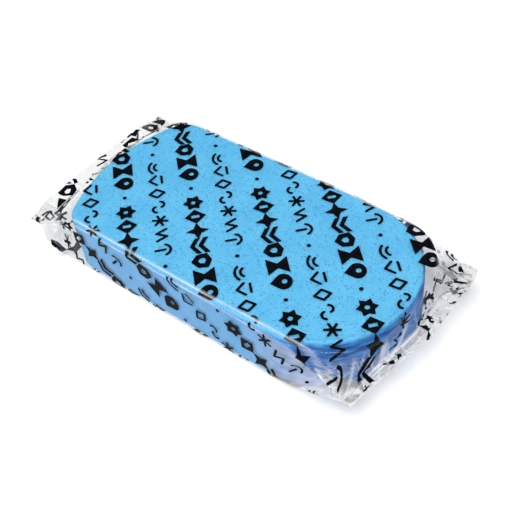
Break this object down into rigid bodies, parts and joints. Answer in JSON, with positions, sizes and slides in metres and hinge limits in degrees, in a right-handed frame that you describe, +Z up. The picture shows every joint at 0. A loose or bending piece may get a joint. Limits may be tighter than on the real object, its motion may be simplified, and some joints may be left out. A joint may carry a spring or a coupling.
{
  "type": "clay bar",
  "caption": "Slab of soft blue detailing clay, round at one end and bowed at the other, sealed in a printed clear film wrapper with flat welded end fins.",
  "frame": {"origin": "centre of the pack on the surface it lies on", "axes": "+X along the slab towards its round end, +Z up out of the top panel, +Y towards the far long side"},
  "size_m": [0.1276, 0.06, 0.0206],
  "materials": {
    "clay": "matt light blue modelling clay with a fine dark speckle and a slightly rough skin",
    "film": "clear glossy plastic film with creases and wrinkles",
    "ink": "black print on the film"
  },
  "bodies": {
    "pack": {"clay_bar": "clay", "wrapper_top_panel": "film", "wrapper_base_near": "film", "wrapper_base_far": "film", "wrapper_near_side": "film", "wrapper_far_side": "film", "wrapper_back_seam": "film", "left_end_upper_fold": "film", "left_end_lower_fold": "film", "left_end_near_tuck": "film", "left_end_far_tuck": "film", "right_end_upper_fold": "film", "right_end_lower_fold": "film", "right_end_near_tuck": "film", "right_end_far_tuck": "film"},
    "left_fin": {"left_end_fin": "film"},
    "right_fin": {"right_end_fin": "film"}
  },
  "joints": [
    {"name": "left_fin_flex", "type": "hinge", "parent": "pack", "child": "left_fin", "pos_m": [-0.0576, 0, 0.013], "axis": [0, 1, 0], "range_deg": [-60, 60], "stiffness_Nm_per_rad": 0.0004},
    {"name": "right_fin_flex", "type": "hinge", "parent": "pack", "child": "right_fin", "pos_m": [0.0588, 0, 0.012], "axis": [0, -1, 0], "range_deg": [-60, 60], "stiffness_Nm_per_rad": 0.0004}
  ]
}
